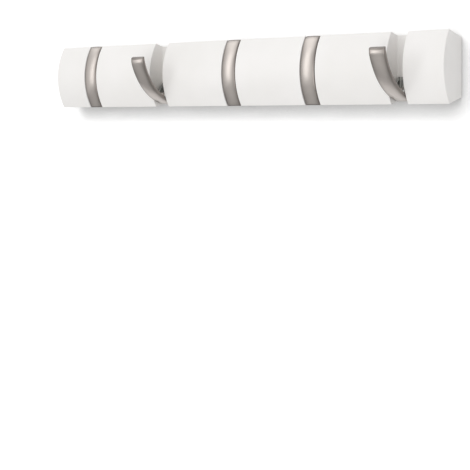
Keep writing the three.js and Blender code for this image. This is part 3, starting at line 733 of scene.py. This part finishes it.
to_pin = add_node(casting, "GeometryNodeTransform", {
    "Geometry": metal, "Translation": (0, PIVOT.x, -PIVOT.y)})
swing = add_node(casting, "ShaderNodeCombineXYZ", {"X": hook_in["Opening"]})
flipped = add_node(casting, "GeometryNodeTransform", {
    "Geometry": to_pin.outputs["Geometry"], "Rotation": swing.outputs["Vector"]})
spot = add_node(casting, "ShaderNodeCombineXYZ", {"X": hook_in["Along"], "Y": -PIVOT.x, "Z": PIVOT.y})
hung = add_node(casting, "GeometryNodeTransform", {
    "Geometry": flipped.outputs["Geometry"], "Translation": spot.outputs["Vector"]})
plated = add_node(casting, "GeometryNodeSetMaterial", {
    "Geometry": hung.outputs["Geometry"], "Material": hook_in["Plate"]})
casting.links.new(plated.outputs["Geometry"], hook_out.inputs["Piece"])


def clear_of_pin(corner):
    """Whether a corner lies outside the knuckle and its hollows, which stay as they are cut."""
    return math.hypot(corner.y + PIVOT.x, corner.z - PIVOT.y) > SHARP_REACH


nickel = satin_nickel()
for n in range(1, HOOKS + 1):
    hook = made_by(casting, f"satin_hook_{n}", plate_blank(), {
        "Knuckle radius": KNUCKLE_RADIUS, "Knuckle width": KNUCKLE_WIDTH,
        "Hollow radius": HOLLOW_RADIUS, "Bore radius": BORE_RADIUS,
        "Opening": OPEN_ANGLE if n in OPEN_HOOKS else 0.0,
        "Along": (n - (HOOKS + 1) / 2) * HOOK_PITCH, "Plate": nickel})
    edge_rounding(hook, CAST_EDGE, clear_of_pin)
    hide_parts(f"hook_{n}")
    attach(hook, f"flip_hook_{n}")


# The keyhole plates are stamped from 1.6 mm steel, plated, and let into the back of the bar. The
# wall screw's head goes in below and the neck drops over its shank.
plates = made_by(repeats, "keyhole_plates", pressed_copy("keyhole_plate_left"), {
    "Count": 1, "Pitch": KEYHOLE_PITCH, "Finish": pressed_steel})
twin = pressed_copy("keyhole_plate_right")
twin.from_mesh(plates.data)
twin.to_mesh(plates.data)
plates.data.materials.clear()
plates.data.materials.append(pressed_steel)
edge_rounding(plates, PRESSED_EDGE)
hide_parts("keyhole_plate_left", "keyhole_plate_right")
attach(plates, "bar")


# Two flat-head wood screws hold each keyhole plate, flush with its face. They are plated like the
# bracket screws.
FLAT_HEAD = [(0, 0), (2.65, 0), (2.8, 0.08), (1.5, 1.35), (1.3, 2.2), (1.3, 9.5), (0.7, 11.2), (0, 11.95)]
WOOD_SCREW_SEAT = 0.05 * MM  # from the wall to the top of the head
WOOD_CROSS_LENGTH = 3.2 * MM
WOOD_CROSS_WIDTH = 0.7 * MM
WOOD_CROSS_DEPTH = 1.1 * MM
wood_screw_places = [
    outwards(along, WOOD_SCREW_SEAT, KEYHOLE_UP) for along in (-PLATE_SCREW_ALONG, PLATE_SCREW_ALONG)]
wood_screw_blank = struck_screws("wood_screw_blank", FLAT_HEAD, wood_screw_places,
                                 WOOD_CROSS_LENGTH, WOOD_CROSS_WIDTH, WOOD_CROSS_DEPTH)
wood_screws = made_by(repeats, "flat_head_plate_screws", wood_screw_blank, {
    "Count": KEYHOLES, "Pitch": KEYHOLE_PITCH, "Finish": bright_zinc})
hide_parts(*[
    f"keyhole_screw_{side}_{end}" for side in ("left", "right") for end in ("outer", "inner")])
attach(wood_screws, "bar")


# The stage: a white wall that runs down into a pale floor. It is open behind the rack, a little
# inside the bar's outline, so that the back of the rack gets light in views from behind.
WALL_BACK = 0.8 * MM  # how far the wall's face lies behind the bar's back
WALL_TOP = 2.5
WALL_REACH = 4.0  # to each side
FLOOR_DOWN = 1.5
FLOOR_REACH = 5.0  # towards the room
COVE = 0.3  # radius between the wall and the floor
COVE_STEPS = 12
GREY_FLOOR = 2.2  # how far towards the room the floor stays greyer than the wall
OPENING_INSET = Vector((2 * MM, 1.5 * MM))  # from the bar's ends, and from the edges of its back
CREASE_SHADE = 25 * MM  # how far from what stands on the wall it starts to darken


def seen_directly(tree):
    """1 where the camera or a shiny surface sees a point, and 0 where that only lights others."""
    path = add_node(tree, "ShaderNodeLightPath").outputs
    shiny = add_node(tree, "ShaderNodeMath", {
        0: path["Is Glossy Ray"], 1: path["Is Transmission Ray"]}, operation="MAXIMUM")
    seen = add_node(tree, "ShaderNodeMath", {
        0: path["Is Camera Ray"], 1: shiny.outputs[0]}, operation="MAXIMUM")
    return seen.outputs[0]


def matt_emulsion():
    """White matt wall paint, seen from the room side only. The camera and shiny surfaces see it a
    little whiter than it lights the rack, so that it is white where no shadow falls, and a painted
    shadow darkens it close to what stands on it."""
    material, tree, shader, place = bare_material("matt_white_wall_paint")
    tree.nodes.remove(shader)
    roller = add_node(tree, "ShaderNodeTexNoise", {"Vector": place, "Scale": 1 / (3 * MM), "Detail": 2.0})
    relief = add_node(tree, "ShaderNodeBump", {
        "Height": roller.outputs["Fac"], "Strength": 0.05, "Distance": 0.2 * MM})
    # The shade lies below what stands on the wall and to its right: only what is above counts.
    upwards = add_node(tree, "ShaderNodeCombineXYZ", {"X": -0.06, "Y": -0.65, "Z": 0.75})
    crease = add_node(tree, "ShaderNodeAmbientOcclusion", {
        "Distance": CREASE_SHADE, "Normal": upwards.outputs["Vector"]}, samples=8)
    near = add_node(tree, "ShaderNodeMapRange", {
        "Value": crease.outputs["AO"], "From Min": 0.3, "From Max": 0.95, "To Min": 0.6, "To Max": 1.22})
    # Painted shade: the floor is greyer than the wall, most of all near it, as though less light reached
    # it there, and the cove blends them.
    spot = add_node(tree, "ShaderNodeSeparateXYZ", {"Vector": place}).outputs
    floor = add_node(tree, "ShaderNodeMapRange", {
        "Value": spot["Y"], "From Min": -GREY_FLOOR, "From Max": -COVE, "To Min": 1.0, "To Max": 0.5})
    lower = add_node(tree, "ShaderNodeMapRange", {
        "Value": spot["Z"], "From Min": -FLOOR_DOWN, "From Max": COVE - FLOOR_DOWN,
        "To Min": floor.outputs["Result"], "To Max": 1.0})
    shown = add_node(tree, "ShaderNodeMath", {
        0: near.outputs["Result"], 1: lower.outputs["Result"]}, operation="MULTIPLY")
    bright = add_node(tree, "ShaderNodeMix", {
        "Factor": seen_directly(tree), "A": 0.9, "B": shown.outputs[0]}, data_type="FLOAT")
    white = add_node(tree, "ShaderNodeBsdfDiffuse", {
        "Color": bright.outputs["Result"], "Normal": relief.outputs["Normal"]})
    behind = add_node(tree, "ShaderNodeNewGeometry").outputs["Backfacing"]
    clear = add_node(tree, "ShaderNodeBsdfTransparent")
    sided = add_node(tree, "ShaderNodeMixShader", {0: behind, 1: white.outputs[0], 2: clear.outputs[0]})
    tree.links.new(sided.outputs[0], tree.nodes["Material Output"].inputs["Surface"])
    return material


sheet = bmesh.new()
opening_side = BAR_LENGTH / 2 - OPENING_INSET.x
opening_up = HALF_BACK - OPENING_INSET.y
columns = (-WALL_REACH, -opening_side, opening_side, WALL_REACH)
rows = [(WALL_BACK, WALL_TOP), (WALL_BACK, opening_up), (WALL_BACK, -opening_up)]
for k in range(COVE_STEPS + 1):
    way = math.pi / 2 * k / COVE_STEPS
    rows.append((WALL_BACK - COVE * (1 - math.cos(way)), COVE - FLOOR_DOWN - COVE * math.sin(way)))
rows.append((-FLOOR_REACH, -FLOOR_DOWN))
grid = [[sheet.verts.new((x, y, z)) for x in columns] for y, z in rows]
opening = (1, 1)  # row and column of the panel that is left out
for r in range(len(rows) - 1):
    for c in range(len(columns) - 1):
        if (r, c) != opening:
            sheet.faces.new((grid[r][c], grid[r + 1][c], grid[r + 1][c + 1], grid[r][c + 1]))
backdrop_mesh = bpy.data.meshes.new("wall_and_floor")
sheet.to_mesh(backdrop_mesh)
backdrop_mesh.materials.append(matt_emulsion())
backdrop_mesh.shade_smooth()
backdrop = bpy.data.objects.new("wall_and_floor", backdrop_mesh)
bpy.context.scene.collection.objects.link(backdrop)


# Plain soft light: a pale room all round, a tall strip softbox on the left that makes the long glow
# down the hooks, a wide one overhead, and a broad fill from the front, a little to the right and
# below the bar, that opens up the slots. The room looks whiter than it lights.
world = bpy.data.worlds.new("pale_studio")
world.use_nodes = True
bpy.context.scene.world = world
room = world.node_tree
shade = add_node(room, "ShaderNodeMix", {
    "Factor": seen_directly(room), "A": (0.50, 0.50, 0.50, 1), "B": (0.94, 0.94, 0.94, 1)},
    data_type="RGBA")
room.links.new(shade.outputs["Result"], room.nodes["Background"].inputs["Color"])

# Each lamp points at the bar's middle: its place, its width and height, and its power in watts.
for name, place, width, height, power in (
        ("softbox_left", (-1.29, -1.88, 0.50), 0.6, 1.9, 7.6),
        ("softbox_top", (-0.80, -1.10, 1.95), 2.8, 1.5, 12.3),
        ("fill_right", (0.56, -1.93, -0.27), 1.4, 1.4, 12.5)):
    light = bpy.data.lights.new(name, "AREA")
    light.shape = "RECTANGLE"
    light.size = width
    light.size_y = height
    light.energy = power
    lamp = bpy.data.objects.new(name, light)
    lamp.location = place
    lamp.rotation_euler = (-Vector(place)).to_track_quat("-Z", "Y").to_euler()
    bpy.context.scene.collection.objects.link(lamp)


# The camera looks level from the right and a little below the bar, as the photograph was taken.
CAMERA_TURN = math.radians(38.84)  # round from straight in front, to the right
camera = bpy.data.objects.new("camera", bpy.data.cameras.new("camera"))
camera.location = (0.8657, -1.0974, -0.0511)
camera.rotation_euler = (math.pi / 2, 0, CAMERA_TURN)
camera.data.lens = 100.33
camera.data.sensor_width = 36
camera.data.shift_y = -0.2419
bpy.context.scene.collection.objects.link(camera)
bpy.context.scene.camera = camera
bpy.context.scene.view_settings.view_transform = "Standard"
